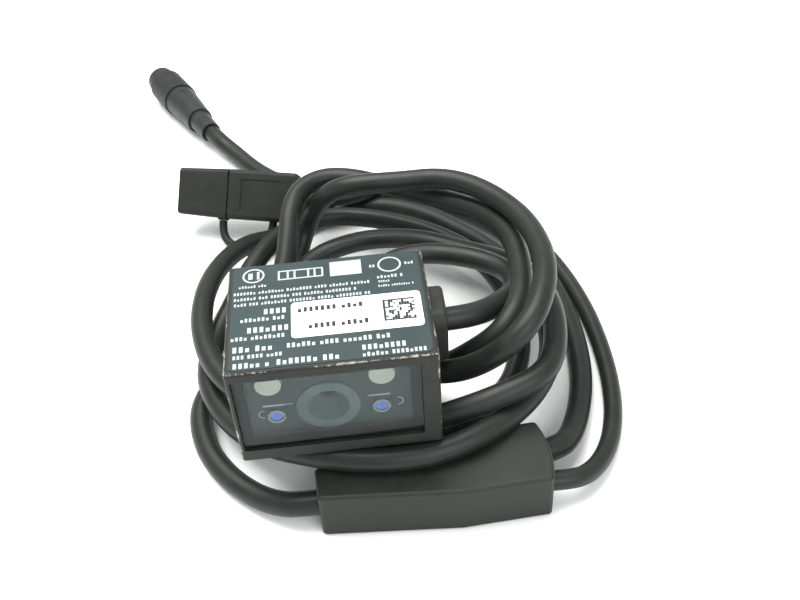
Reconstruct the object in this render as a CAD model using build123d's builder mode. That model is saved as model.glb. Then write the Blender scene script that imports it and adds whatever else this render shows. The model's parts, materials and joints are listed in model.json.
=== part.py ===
"""Compact fixed-mount code scanner: scan head, coiled cable, Y junction box, USB plug, round connector.

Millimetres. The origin is the middle of the head's rear mounting face. +Y points out of that face,
the window looks along -Y, +Z is up. The coil and the junction box lie on a surface at z = FLOOR_Z.
"""
from build123d import *
from math import asin, cos, degrees, pi, radians, sin, tan
import os

os.makedirs("parts", exist_ok=True)

# ---- head ----
HEAD_WIDTH = 46.0
HEAD_DEPTH = 36.5
HEAD_HEIGHT = 28.0
EDGE_RADIUS = 0.8
FRONT_Y = -HEAD_DEPTH
SIDE_X = HEAD_WIDTH / 2
TOP_Z = HEAD_HEIGHT / 2
SIDE_WALL = 1.8
REAR_WALL = 6.0
FRONT_WALL = 3.5
COVER_THICK = 1.6
COVER_RIM = 1.0
MOUNT_SPACING = 30.0
M3_TAP_RADIUS = 1.25
M3_TAP_DEPTH = 5.0
POST_RADIUS = 2.5
POST_X = 18.6
POST_FRONT_Y = -29.2
POST_REAR_Y = -7.0
M2_TAP_RADIUS = 0.8
M2_TAP_DEPTH = 6.0
M2_SHANK_RADIUS = 0.78
M2_HEAD_RADIUS = 1.9
M2_CLEARANCE_RADIUS = 1.1
SCREW_SUNK = 0.05
SCREW_TAPER = 44.0
SCREW_NECK = 0.6
CROSS_LENGTH = 2.2
CROSS_WIDTH = 0.5
CROSS_DEPTH = 0.5
COVER_SCREW_LENGTH = 6.0
SEAT_GAP = 0.02
SLIDE_GAP = 0.1
LABEL_WIDTH = 43.6
LABEL_DEPTH = 34.7
LABEL_CORNER = 1.4
LABEL_THICK = 0.14
STICKER_CENTRE = (6.3, -21.4)
STICKER_WIDTH = 29.2
STICKER_DEPTH = 11.7
STICKER_CORNER = 1.0
STICKER_THICK = 0.1

# ---- window and optics; the optical axis is left of the head's middle ----
OPTIC_X = -2.0
WINDOW_WIDTH = 41.0
WINDOW_HEIGHT = 22.0
WINDOW_X = -1.5
WINDOW_Z = 0.6
WINDOW_RECESS = 2.2
GLASS_SET_BACK = 0.8
GLASS_THICK = 1.1
GASKET_THICK = WINDOW_RECESS - GLASS_SET_BACK - GLASS_THICK
WINDOW_CORNER = 0.6
LEDGE_X = 1.4
LEDGE_Z = 1.2
MASK_OPENING_WIDTH = 36.2
MASK_OPENING_HEIGHT = 17.4
MASK_CORNER = 0.8
LENS_Z = -1.2
LENS_RING_RADIUS = 7.1
LENS_RING_THICK = 0.5
LENS_MOUTH_RADIUS = 4.7
HOOD_WALL = 0.7
HOOD_REAR_Y = -28.5
HOOD_REAR_RADIUS = 2.0
AIM_OFFSET = 11.8
AIM_Z = -3.0
AIM_RADIUS = 1.6
AIM_RIM = 0.45
AIM_LIP = 0.15
AIM_RING_THICK = 0.6
AIM_GLASS_RADIUS = 1.4
AIM_GLASS_PROUD = 0.35
AIM_TUBE_LENGTH = 6.0
LAMP_OFFSET = 12.4
LAMP_Z = 7.2
LAMP_RADIUS = 3.0
LAMP_DOME = 0.9
PANEL_FRONT_Y = FRONT_Y + 3.3
PANEL_THICK = 1.0
PANEL_WIDTH = 38.0
PANEL_HEIGHT = 19.4
BARREL_RADIUS = 5.0
BARREL_WALL = 1.0
BARREL_REAR_Y = -19.0
FRONT_LENS_Y = -27.6
FRONT_LENS_THICK = 3.0
FRONT_LENS_BULGE = 1.0
REAR_LENS_Y = -22.2
REAR_LENS_THICK = 2.4
REAR_LENS_BULGE = 0.7
HOLDER_SIZE = 15.0
HOLDER_CORNER = 1.5
HOLDER_GRIP = 4.0
HOLDER_OPENING = 9.0
SENSOR_WIDTH = 8.0
SENSOR_HEIGHT = 7.0
SENSOR_THICK = 1.2
SENSOR_BOARD_Y = -15.0
SENSOR_BOARD_X = -1.0
MAIN_BOARD_Y = -11.8
BOARD_THICK = 1.2
BOARD_WIDTH = 38.0
BOARD_HEIGHT = 19.0
SPACER_X = 12.6
SPACER_HEIGHTS = (-7.0, 1.8)
SPACER_RADIUS = 1.5
LINK_PLACE = (-8.0, 4.0)
LINK_WIDTH = 14.0
LINK_HEIGHT = 4.0
CHIP_PLACE = (-7.0, -1.0)
CHIP_SIZE = 11.0
CHIP_THICK = 1.4
SOCKET_X = 8.5
SOCKET_WIDTH = 8.0
SOCKET_HEIGHT = 5.5
SOCKET_DEPTH = 3.6

# ---- cable exit block on the right side ----
BLOCK_REACH = 4.5
BLOCK_LENGTH = 13.75
BLOCK_Y = -7.4
BLOCK_TOP_Z = 4.0
BLOCK_BOTTOM_Z = -12.0
BLOCK_CORNER = 3.2
BLOCK_EDGE = 1.1
BLOCK_SCREW_Y = BLOCK_Y - 4.6
BLOCK_SCREW_HEIGHTS = (0.6, -9.4)
BLOCK_SCREW_LENGTH = 6.2
EXIT_Y = -6.8
EXIT_Z = -3.5
GLAND_RADIUS = 4.4

# ---- cables ----
TRUNK_RADIUS = 3.0
USB_RADIUS = 2.4
TETHER_RADIUS = 1.3
FLOOR_Z = -34.0

# ---- junction box ----
BOX_LENGTH = 55.5
BOX_HEIGHT = 14.0
BOX_NARROW = 9.2
BOX_WIDE = 17.8
BOX_SHOULDER = 5.0
BOX_BULGE = 1.4
BOX_WALL = 1.6
BOX_CORNER = 1.2
BOX_EDGE = 0.9
BOX_TURN = 3.2
BOX_CENTRE = (20.5, -38.3)
GROMMET_RADIUS = 3.9
GROMMET_LENGTH = 3.0
GROMMET_INSET = 0.3
POWER_ENTRY_V = 4.4
USB_ENTRY_V = -4.4
BOX_SCREW_SPOTS = [(-18.75, 0.0), (10.0, 0.0)]
BOX_SCREW_LENGTH = 10.5
BOX_POST_RADIUS = 2.2
BOX_BOARD_DROP = 2.6
BOX_BOARD_THICK = 1.0
TERMINAL_SPOTS = [(-10.0, 0.0), (17.2, 3.4), (17.2, -3.4)]
TERMINAL_LENGTH = 6.0
TERMINAL_WIDTH = 4.6
TERMINAL_HEIGHT = 4.0

# ---- USB plug: its own axis points out of the metal shell ----
PLUG_SEAM = (-32.0, 83.5, -21.0)
PLUG_AXIS = (-0.9786, 0.1968, 0.0609)
PLUG_WIDE_DIR = (0.1701, 0.6051, 0.7777)
PLUG_WIDTH = 16.0
PLUG_THICK = 8.0
PLUG_BODY = 21.9
PLUG_SHOULDER = 4.0
PLUG_CORNER = 1.4
PLUG_TAIL_WIDTH = 9.4
PLUG_TAIL_THICK = 7.4
PANEL_START = 4.5
PANEL_LENGTH = 13.0
PANEL_ACROSS = 10.0
PANEL_DEPTH = 0.3
SHELL_WIDTH = 12.0
SHELL_THICK = 4.5
SHELL_WALL = 0.3
SHELL_OUT = 12.0
SHELL_IN = 6.0
SPRING_WINDOW = 2.4
SPRING_WINDOW_X = 2.6
SPRING_WINDOW_AT = 5.0
TONGUE_Y = -0.95
TONGUE_THICK = 1.9
TONGUE_SHORT = 0.8
TONGUE_BASE = 2.5
CONTACT_PITCH = 2.3
CONTACT_WIDTH = 1.1
CONTACT_THICK = 0.24
CONTACT_LENGTH = 13.0
CAP_LENGTH = 16.1
CAP_GAP = 0.5
CAP_TIP_WIDTH = 14.9
CAP_TIP_THICK = 7.4
CAP_TIP_EDGE = 0.8
CAP_CLEARANCE = 0.3
LUG_START = 0.1
LUG_LENGTH = 2.8
LUG_REACH = 0.5
LUG_WIDTH = 3.6
TETHER_AT = LUG_START + LUG_LENGTH / 2
TETHER_BACK = 15.0
RELIEF_LENGTH = 8.5
RELIEF_WALL = 1.3
RELIEF_TIP_WALL = 0.7
CABLE_IN_PLUG = 3.0

# ---- round connector, lying on the surface ----
CONNECTOR_REAR = (-42.0, 135.2)
CONNECTOR_DIR = (-0.446, 0.895, 0.0)
SLEEVE_RADIUS = 6.6
SLEEVE_LENGTH = 15.0
SLEEVE_SHOULDER = 1.2
COLLAR_RADIUS = 5.4
COLLAR_LENGTH = 4.6
COLLAR_BORE = 4.5
CONNECTOR_Z = FLOOR_Z + SLEEVE_RADIUS
MID_LENGTH = 18.6
MID_RADIUS = 6.15
MID_REAR_RADIUS = 4.9
DIMPLE_AT = 25.2
DIMPLE_RADIUS = 0.9
BOOT_LENGTH = 10.6
BOOT_RADIUS = 4.15
BOOT_REAR_RADIUS = 3.7
SLEEVE_GAP = 0.5
NECK_RADIUS = 5.0
NECK_LENGTH = 12.0
SLEEVE_BORE = NECK_RADIUS + 0.06
INSERT_RADIUS = 4.4
INSERT_REACH = 13.4
PIN_COUNT = 6
PIN_CIRCLE = 2.7
PIN_HOLE_RADIUS = 0.6
PIN_HOLE_DEPTH = 6.0
PIN_RADIUS = 0.58
PIN_BORE = 0.35
PIN_LENGTH = 5.5
SNAP_RING_AT = 5.0
SNAP_RING_DEPTH = 0.25
SNAP_RING_PROUD = 0.45
SNAP_RING_THICK = 0.8
SNAP_RING_OPENING = 2.0
CABLE_IN_CONNECTOR = 6.0
RIB_COUNT = 36
RIB_GROOVE = 0.4


def save(part, name):
    """Label a finished piece and write its STEP file."""
    part.label = name
    export_step(part, f"parts/{name}.step")


def round_tube(points, radius):
    """A cable along straight runs joined by arcs as large as their two runs allow."""
    spots = [Vector(*p) for p in points]
    radii = []
    for before, here, after in zip(spots, spots[1:], spots[2:]):
        turn = (here - before).get_angle(after - here)
        shorter = min((here - before).length, (after - here).length)
        radii.append(0.45 * shorter / tan(radians(turn / 2)))
    with BuildPart() as tube:
        with BuildLine() as path:
            FilletPolyline(*spots, radius=radii)
        with BuildSketch(Plane(origin=spots[0], z_dir=spots[1] - spots[0])):
            Circle(radius)
        sweep(path=path.line)
    run = sum(edge.length for edge in path.edges())
    ideal = pi * radius**2 * run
    print(f"cable r{radius}: length {run:.0f} mm, tightest radius {min(radii):.1f} mm,"
          f" volume ratio {tube.part.volume / ideal:.4f}")
    return tube.part


# ================= scan head =================
INNER_FRONT_Y = FRONT_Y + FRONT_WALL
INNER_REAR_Y = -REAR_WALL
INNER_X = SIDE_X - SIDE_WALL
INNER_TOP_Z = TOP_Z - SIDE_WALL
COVER_TOP_Z = -TOP_Z + COVER_THICK
POSTS = [(x, y) for x in (-POST_X, POST_X) for y in (POST_FRONT_Y, POST_REAR_Y)]
BLOCK_SCREWS = [(BLOCK_SCREW_Y, z) for z in BLOCK_SCREW_HEIGHTS]

with BuildPart() as housing:
    with Locations((0, -HEAD_DEPTH / 2, 0)):
        Box(HEAD_WIDTH, HEAD_DEPTH, HEAD_HEIGHT)
    fillet(housing.edges(), EDGE_RADIUS)
    # inner space, open at the underside
    with BuildSketch(Plane.XY.offset(-TOP_Z)):
        with Locations((0, (INNER_FRONT_Y + INNER_REAR_Y) / 2)):
            Rectangle(2 * INNER_X, INNER_REAR_Y - INNER_FRONT_Y)
    extrude(amount=INNER_TOP_Z + TOP_Z, mode=Mode.SUBTRACT)
    # screw posts for the underside cover
    with BuildSketch(Plane.XY.offset(COVER_TOP_Z)):
        with Locations(*POSTS):
            Circle(POST_RADIUS)
    extrude(amount=INNER_TOP_Z - COVER_TOP_Z)
    with BuildSketch(Plane.XY.offset(-TOP_Z)):
        with Locations((0, -HEAD_DEPTH / 2)):
            Rectangle(HEAD_WIDTH - 2 * COVER_RIM, HEAD_DEPTH - 2 * COVER_RIM)
    extrude(amount=COVER_THICK, mode=Mode.SUBTRACT)
    with BuildSketch(Plane.XY.offset(COVER_TOP_Z)):
        with Locations(*POSTS):
            Circle(M2_TAP_RADIUS)
    extrude(amount=M2_TAP_DEPTH, mode=Mode.SUBTRACT)
    # window recess and the smaller opening behind it
    with BuildSketch(Plane.XZ.offset(-FRONT_Y)):
        with Locations((WINDOW_X, WINDOW_Z)):
            RectangleRounded(WINDOW_WIDTH, WINDOW_HEIGHT, WINDOW_CORNER)
    extrude(amount=-WINDOW_RECESS, mode=Mode.SUBTRACT)
    with BuildSketch(Plane.XZ.offset(-FRONT_Y)):
        with Locations((WINDOW_X, WINDOW_Z)):
            Rectangle(WINDOW_WIDTH - 2 * LEDGE_X, WINDOW_HEIGHT - 2 * LEDGE_Z)
    extrude(amount=-FRONT_WALL, mode=Mode.SUBTRACT)
    # tapped mounting holes in the rear face
    with BuildSketch(Plane.XZ):
        with Locations((-MOUNT_SPACING / 2, 0), (MOUNT_SPACING / 2, 0)):
            Circle(M3_TAP_RADIUS)
    extrude(amount=M3_TAP_DEPTH, mode=Mode.SUBTRACT)
    # cable hole and tapped holes for the exit block in the right wall
    with BuildSketch(Plane.YZ.offset(SIDE_X)):
        with Locations((EXIT_Y, EXIT_Z)):
            Circle(GLAND_RADIUS)
    extrude(amount=-SIDE_WALL, mode=Mode.SUBTRACT)
    with BuildSketch(Plane.YZ.offset(SIDE_X)):
        with Locations(*BLOCK_SCREWS):
            Circle(M2_TAP_RADIUS)
    extrude(amount=-SIDE_WALL, mode=Mode.SUBTRACT)
save(housing.part, "housing")

with BuildPart() as bottom_cover:
    with BuildSketch(Plane.XY.offset(-TOP_Z)):
        with Locations((0, -HEAD_DEPTH / 2)):
            Rectangle(HEAD_WIDTH - 2 * COVER_RIM - SLIDE_GAP, HEAD_DEPTH - 2 * COVER_RIM - SLIDE_GAP)
    extrude(amount=COVER_THICK)
    with Locations(*[Location((x, y, -TOP_Z), (180, 0, 0)) for x, y in POSTS]):
        CounterSinkHole(M2_CLEARANCE_RADIUS, M2_HEAD_RADIUS, COVER_THICK)
save(bottom_cover.part, "bottom_cover")


def countersunk_screw(plane, length):
    """M2 countersunk screw with a cross recess; the plane's normal points out of its head."""
    sink = M2_HEAD_RADIUS - M2_SHANK_RADIUS
    with BuildPart() as screw:
        with BuildSketch(plane.offset(-SCREW_SUNK)):
            Circle(M2_HEAD_RADIUS - SLIDE_GAP - SCREW_SUNK)
        extrude(amount=-sink, taper=SCREW_TAPER)
        with BuildSketch(plane.offset(-SCREW_NECK)):
            Circle(M2_SHANK_RADIUS)
        extrude(amount=-(length - SCREW_NECK))
        with BuildSketch(plane.offset(-SCREW_SUNK)):
            Rectangle(CROSS_LENGTH, CROSS_WIDTH)
            Rectangle(CROSS_WIDTH, CROSS_LENGTH)
        extrude(amount=-CROSS_DEPTH, mode=Mode.SUBTRACT)
    return screw.part


cover_screws = [
    countersunk_screw(Plane((x, y, -TOP_Z), x_dir=(1, 0, 0), z_dir=(0, 0, -1)), COVER_SCREW_LENGTH)
    for x, y in POSTS
]
save(Compound(children=cover_screws), "cover_screws")

GLASS_FRONT_Y = FRONT_Y + GLASS_SET_BACK
GASKET_FRONT_Y = GLASS_FRONT_Y + GLASS_THICK
PANE_WIDTH = WINDOW_WIDTH - SLIDE_GAP
PANE_HEIGHT = WINDOW_HEIGHT - SLIDE_GAP
PANE_CORNER = WINDOW_CORNER - SLIDE_GAP / 2
with BuildPart() as window:
    with BuildSketch(Plane.XZ.offset(-GLASS_FRONT_Y)):
        with Locations((WINDOW_X, WINDOW_Z)):
            RectangleRounded(PANE_WIDTH, PANE_HEIGHT, PANE_CORNER)
    extrude(amount=-GLASS_THICK)
save(window.part, "window")

with BuildPart() as window_mask:
    with BuildSketch(Plane.XZ.offset(-GASKET_FRONT_Y)):
        with Locations((WINDOW_X, WINDOW_Z)):
            RectangleRounded(PANE_WIDTH, PANE_HEIGHT, PANE_CORNER)
            RectangleRounded(MASK_OPENING_WIDTH, MASK_OPENING_HEIGHT, MASK_CORNER, mode=Mode.SUBTRACT)
    extrude(amount=-GASKET_THICK)
save(window_mask.part, "window_mask")

LAMP_SPOTS = [(OPTIC_X - LAMP_OFFSET, LAMP_Z), (OPTIC_X + LAMP_OFFSET, LAMP_Z)]
AIM_SPOTS = [(OPTIC_X - AIM_OFFSET, AIM_Z), (OPTIC_X + AIM_OFFSET, AIM_Z)]
SPACER_SPOTS = [(OPTIC_X + side * SPACER_X, z) for side in (-1, 1) for z in SPACER_HEIGHTS]

with BuildPart() as optics_panel:
    with BuildSketch(Plane.XZ.offset(-PANEL_FRONT_Y)):
        with Locations((WINDOW_X, WINDOW_Z)):
            Rectangle(PANEL_WIDTH, PANEL_HEIGHT)
        with Locations((OPTIC_X, LENS_Z)):
            Circle(LENS_MOUTH_RADIUS + HOOD_WALL + SLIDE_GAP, mode=Mode.SUBTRACT)
        with Locations(*AIM_SPOTS):
            Circle(AIM_RADIUS, mode=Mode.SUBTRACT)
    extrude(amount=-PANEL_THICK)
save(optics_panel.part, "optics_panel")

# conical hood that narrows from the ring on the panel to the lens
with BuildPart() as lens_hood:
    with BuildSketch(Plane.XZ.offset(-PANEL_FRONT_Y + LENS_RING_THICK)):
        with Locations((OPTIC_X, LENS_Z)):
            Circle(LENS_RING_RADIUS)
    extrude(amount=-LENS_RING_THICK)
    with BuildSketch(Plane.XZ.offset(-PANEL_FRONT_Y)):
        with Locations((OPTIC_X, LENS_Z)):
            Circle(LENS_MOUTH_RADIUS + HOOD_WALL)
    extrude(amount=-(HOOD_REAR_Y - PANEL_FRONT_Y))
    with BuildSketch(Plane.XZ.offset(-PANEL_FRONT_Y + LENS_RING_THICK)):
        with Locations((OPTIC_X, LENS_Z)):
            Circle(LENS_MOUTH_RADIUS)
    with BuildSketch(Plane.XZ.offset(-HOOD_REAR_Y)):
        with Locations((OPTIC_X, LENS_Z)):
            Circle(HOOD_REAR_RADIUS)
    loft(mode=Mode.SUBTRACT)
save(lens_hood.part, "lens_hood")

with BuildPart() as lens_barrel:
    with BuildSketch(Plane.XZ.offset(-HOOD_REAR_Y)):
        with Locations((OPTIC_X, LENS_Z)):
            Circle(BARREL_RADIUS)
            Circle(BARREL_RADIUS - BARREL_WALL, mode=Mode.SUBTRACT)
    extrude(amount=-(BARREL_REAR_Y - HOOD_REAR_Y))
save(lens_barrel.part, "lens_barrel")


def lens_disc(front_y, thick, bulge):
    """Glass element that fits the barrel: flat at the back, domed at the front."""
    radius = BARREL_RADIUS - BARREL_WALL - SEAT_GAP
    sphere_radius = (radius**2 + bulge**2) / (2 * bulge)
    with BuildPart() as disc:
        with BuildSketch(Plane.XZ.offset(-front_y)):
            with Locations((OPTIC_X, LENS_Z)):
                Circle(radius)
        extrude(amount=-thick)
        with Locations((OPTIC_X, front_y - bulge + sphere_radius, LENS_Z)):
            Sphere(sphere_radius, mode=Mode.INTERSECT)
    return disc.part


save(lens_disc(FRONT_LENS_Y, FRONT_LENS_THICK, FRONT_LENS_BULGE), "front_lens")
save(lens_disc(REAR_LENS_Y, REAR_LENS_THICK, REAR_LENS_BULGE), "rear_lens")

with BuildPart() as lens_holder:
    with BuildSketch(Plane.XZ.offset(-(BARREL_REAR_Y - HOLDER_GRIP))):
        with Locations((OPTIC_X, LENS_Z)):
            RectangleRounded(HOLDER_SIZE, HOLDER_SIZE, HOLDER_CORNER)
            Circle(BARREL_RADIUS + SEAT_GAP, mode=Mode.SUBTRACT)
    extrude(amount=-HOLDER_GRIP)
    with BuildSketch(Plane.XZ.offset(-BARREL_REAR_Y)):
        with Locations((OPTIC_X, LENS_Z)):
            RectangleRounded(HOLDER_SIZE, HOLDER_SIZE, HOLDER_CORNER)
            Rectangle(HOLDER_OPENING, HOLDER_OPENING, mode=Mode.SUBTRACT)
    extrude(amount=-(SENSOR_BOARD_Y - BARREL_REAR_Y))
save(lens_holder.part, "lens_holder")

with BuildPart() as image_sensor:
    with BuildSketch(Plane.XZ.offset(-SENSOR_BOARD_Y)):
        with Locations((OPTIC_X, LENS_Z)):
            Rectangle(SENSOR_WIDTH, SENSOR_HEIGHT)
    extrude(amount=SENSOR_THICK)
save(image_sensor.part, "image_sensor")

with BuildPart() as illumination_leds:
    with Locations(*[(x, PANEL_FRONT_Y, z) for x, z in LAMP_SPOTS]):
        Sphere(LAMP_RADIUS)
    with BuildSketch(Plane.XZ.offset(-PANEL_FRONT_Y)):
        with Locations(*LAMP_SPOTS):
            Circle(1.2 * LAMP_RADIUS)
    extrude(amount=LAMP_DOME, mode=Mode.INTERSECT)
save(illumination_leds.part, "illumination_leds")

with BuildPart() as aiming_rings:
    with BuildSketch(Plane.XZ.offset(-PANEL_FRONT_Y)):
        with Locations(*AIM_SPOTS):
            Circle(AIM_RADIUS + AIM_RIM)
            Circle(AIM_RADIUS - AIM_LIP, mode=Mode.SUBTRACT)
    extrude(amount=AIM_RING_THICK)
save(aiming_rings.part, "aiming_rings")

with BuildPart() as aiming_lasers:
    with BuildSketch(Plane.XZ.offset(-PANEL_FRONT_Y)):
        with Locations(*AIM_SPOTS):
            Circle(AIM_GLASS_RADIUS)
    extrude(amount=AIM_GLASS_PROUD)
    with BuildSketch(Plane.XZ.offset(-PANEL_FRONT_Y)):
        with Locations(*AIM_SPOTS):
            Circle(AIM_GLASS_RADIUS)
    extrude(amount=-AIM_TUBE_LENGTH)
save(aiming_lasers.part, "aiming_lasers")

with BuildPart() as sensor_board:
    with BuildSketch(Plane.XZ.offset(-SENSOR_BOARD_Y)):
        with Locations((SENSOR_BOARD_X, 0)):
            Rectangle(BOARD_WIDTH, BOARD_HEIGHT)
    extrude(amount=-BOARD_THICK)
save(sensor_board.part, "sensor_board")

with BuildPart() as board_spacers:
    with BuildSketch(Plane.XZ.offset(-(PANEL_FRONT_Y + PANEL_THICK))):
        with Locations(*SPACER_SPOTS):
            RegularPolygon(SPACER_RADIUS, 6)
    extrude(amount=-(SENSOR_BOARD_Y - PANEL_FRONT_Y - PANEL_THICK))
save(board_spacers.part, "board_spacers")

with BuildPart() as main_board:
    with BuildSketch(Plane.XZ.offset(-MAIN_BOARD_Y)):
        Rectangle(BOARD_WIDTH, BOARD_HEIGHT)
    extrude(amount=-BOARD_THICK)
save(main_board.part, "main_board")

with BuildPart() as board_connector:
    with BuildSketch(Plane.XZ.offset(-(SENSOR_BOARD_Y + BOARD_THICK))):
        with Locations(LINK_PLACE):
            Rectangle(LINK_WIDTH, LINK_HEIGHT)
    extrude(amount=-(MAIN_BOARD_Y - SENSOR_BOARD_Y - BOARD_THICK))
save(board_connector.part, "board_connector")

with BuildPart() as decoder_chip:
    with BuildSketch(Plane.XZ.offset(-(MAIN_BOARD_Y + BOARD_THICK))):
        with Locations(CHIP_PLACE):
            Rectangle(CHIP_SIZE, CHIP_SIZE)
    extrude(amount=-CHIP_THICK)
save(decoder_chip.part, "decoder_chip")

with BuildPart() as cable_socket:
    with BuildSketch(Plane.XZ.offset(-(MAIN_BOARD_Y + BOARD_THICK))):
        with Locations((SOCKET_X, EXIT_Z)):
            Rectangle(SOCKET_WIDTH, SOCKET_HEIGHT)
    extrude(amount=-SOCKET_DEPTH)
save(cable_socket.part, "cable_socket")

BLOCK_MID_Z = (BLOCK_TOP_Z + BLOCK_BOTTOM_Z) / 2
BLOCK_FACE_X = SIDE_X + BLOCK_REACH
with BuildPart() as cable_exit_block:
    with BuildSketch(Plane.YZ.offset(SIDE_X)):
        with Locations((BLOCK_Y, BLOCK_MID_Z)):
            RectangleRounded(BLOCK_LENGTH, BLOCK_TOP_Z - BLOCK_BOTTOM_Z, BLOCK_CORNER)
    extrude(amount=BLOCK_REACH)
    fillet(cable_exit_block.faces().sort_by(Axis.X)[-1].edges(), BLOCK_EDGE)
    with BuildSketch(Plane.YZ.offset(SIDE_X)):
        with Locations((EXIT_Y, EXIT_Z)):
            Circle(GLAND_RADIUS)
    extrude(amount=BLOCK_REACH, mode=Mode.SUBTRACT)
    with Locations(*[Location((BLOCK_FACE_X, y, z), (0, 90, 0)) for y, z in BLOCK_SCREWS]):
        CounterSinkHole(M2_CLEARANCE_RADIUS, M2_HEAD_RADIUS, BLOCK_REACH)
save(cable_exit_block.part, "cable_exit_block")

block_screws = [
    countersunk_screw(Plane((BLOCK_FACE_X, y, z), x_dir=(0, 1, 0), z_dir=(1, 0, 0)), BLOCK_SCREW_LENGTH)
    for y, z in BLOCK_SCREWS
]
save(Compound(children=block_screws), "exit_block_screws")

with BuildPart() as cable_gland:
    with BuildSketch(Plane.YZ.offset(SIDE_X - SIDE_WALL)):
        with Locations((EXIT_Y, EXIT_Z)):
            Circle(GLAND_RADIUS - SEAT_GAP)
            Circle(TRUNK_RADIUS + SEAT_GAP, mode=Mode.SUBTRACT)
    extrude(amount=BLOCK_REACH + SIDE_WALL)
save(cable_gland.part, "cable_gland")

with BuildPart() as top_label:
    with BuildSketch(Plane.XY.offset(TOP_Z)):
        with Locations((0, -HEAD_DEPTH / 2)):
            RectangleRounded(LABEL_WIDTH, LABEL_DEPTH, LABEL_CORNER)
    extrude(amount=LABEL_THICK)
save(top_label.part, "top_label")

with BuildPart() as serial_sticker:
    with BuildSketch(Plane.XY.offset(TOP_Z + LABEL_THICK)):
        with Locations(STICKER_CENTRE):
            RectangleRounded(STICKER_WIDTH, STICKER_DEPTH, STICKER_CORNER)
    extrude(amount=STICKER_THICK)
save(serial_sticker.part, "serial_sticker")

# ================= junction box =================
BOX_FLOOR = Plane(origin=(*BOX_CENTRE, FLOOR_Z), x_dir=(cos(radians(BOX_TURN)), sin(radians(BOX_TURN)), 0))
BOX_SPLIT = BOX_FLOOR.offset(BOX_HEIGHT / 2)
HALF_LENGTH = BOX_LENGTH / 2


def box_outline(inset):
    """Plan of the junction box: a narrow left end that widens to a wide right end with a bowed face."""
    left = -HALF_LENGTH + inset
    right = HALF_LENGTH - BOX_BULGE - inset
    narrow = BOX_NARROW / 2 - inset
    wide = BOX_WIDE / 2 - inset
    with BuildLine() as outline:
        Polyline((right, wide), (BOX_SHOULDER, wide), (left, narrow), (left, -narrow), (BOX_SHOULDER, -wide),
                 (right, -wide))
        ThreePointArc((right, -wide), (right + BOX_BULGE, 0), (right, wide))
    return outline.line


def box_ends():
    """Entry point and direction of the three cables, on the box's outer faces at mid height."""
    bulge_radius = ((BOX_WIDE / 2) ** 2 + BOX_BULGE**2) / (2 * BOX_BULGE)
    ends = {"trunk": ((-HALF_LENGTH, 0.0), 180.0)}
    for name, v in (("power", POWER_ENTRY_V), ("usb", USB_ENTRY_V)):
        lean = degrees(asin(v / bulge_radius))
        reach = HALF_LENGTH - bulge_radius * (1 - cos(radians(lean)))
        ends[name] = ((reach, v), lean)
    return ends


ENTRIES = box_ends()
BORES = {"trunk": TRUNK_RADIUS, "power": TRUNK_RADIUS, "usb": USB_RADIUS}


def entry_plane(name):
    """Plane on the box's outer face at one cable, its normal pointing out of the box."""
    (u, v), angle = ENTRIES[name]
    origin = BOX_SPLIT.from_local_coords(Vector(u, v, 0))
    direction = radians(angle + BOX_TURN)
    return Plane(origin=origin, x_dir=(0, 0, 1), z_dir=(cos(direction), sin(direction), 0))


def box_shell(plane, height, opens_up):
    """One half of the box: outer wall, hollow towards the split, half of each cable hole."""
    with BuildPart() as shell:
        with BuildSketch(plane):
            make_face(box_outline(0).edges())
        extrude(amount=height)
        fillet(shell.edges().filter_by(Axis.Z), BOX_CORNER)
        outer = shell.faces().sort_by(Axis.Z)[0 if opens_up else -1]
        fillet(outer.edges(), BOX_EDGE)
        with BuildSketch(plane.offset(BOX_WALL if opens_up else 0)):
            make_face(box_outline(BOX_WALL).edges())
        extrude(amount=height - BOX_WALL, mode=Mode.SUBTRACT)
        with BuildSketch(plane):
            with Locations(*BOX_SCREW_SPOTS):
                Circle(BOX_POST_RADIUS)
        extrude(amount=height)
        with BuildSketch(plane):
            with Locations(*BOX_SCREW_SPOTS):
                Circle(M2_CLEARANCE_RADIUS if opens_up else M2_TAP_RADIUS)
        extrude(amount=height if opens_up else height - BOX_WALL, mode=Mode.SUBTRACT)
        if opens_up:
            with Locations(*[BOX_FLOOR * Location((u, v, 0), (180, 0, 0)) for u, v in BOX_SCREW_SPOTS]):
                CounterSinkHole(M2_CLEARANCE_RADIUS, M2_HEAD_RADIUS, height)
        for name in ENTRIES:
            with BuildSketch(entry_plane(name).offset(BOX_BULGE)):
                Circle(GROMMET_RADIUS)
            extrude(amount=-(GROMMET_LENGTH + BOX_BULGE + GROMMET_INSET), mode=Mode.SUBTRACT)
    return shell.part


save(box_shell(BOX_FLOOR, BOX_HEIGHT / 2, True), "junction_lower_shell")
save(box_shell(BOX_SPLIT, BOX_HEIGHT / 2, False), "junction_upper_shell")

for entry in ENTRIES:
    with BuildPart() as grommet:
        with BuildSketch(entry_plane(entry).offset(-GROMMET_INSET)):
            Circle(GROMMET_RADIUS - SEAT_GAP)
            Circle(BORES[entry] + SEAT_GAP, mode=Mode.SUBTRACT)
        extrude(amount=-GROMMET_LENGTH)
    save(grommet.part, f"{entry}_grommet")

with BuildPart() as junction_board:
    with BuildSketch(BOX_SPLIT.offset(-BOX_BOARD_DROP)):
        with Locations((2.0, 0.0)):
            Rectangle(34.0, 7.0)
        with Locations((14.0, 0.0)):
            Rectangle(14.0, 12.0)
        with Locations(*BOX_SCREW_SPOTS):
            Circle(BOX_POST_RADIUS + 2 * SLIDE_GAP, mode=Mode.SUBTRACT)
    extrude(amount=BOX_BOARD_THICK)
save(junction_board.part, "junction_board")

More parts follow.
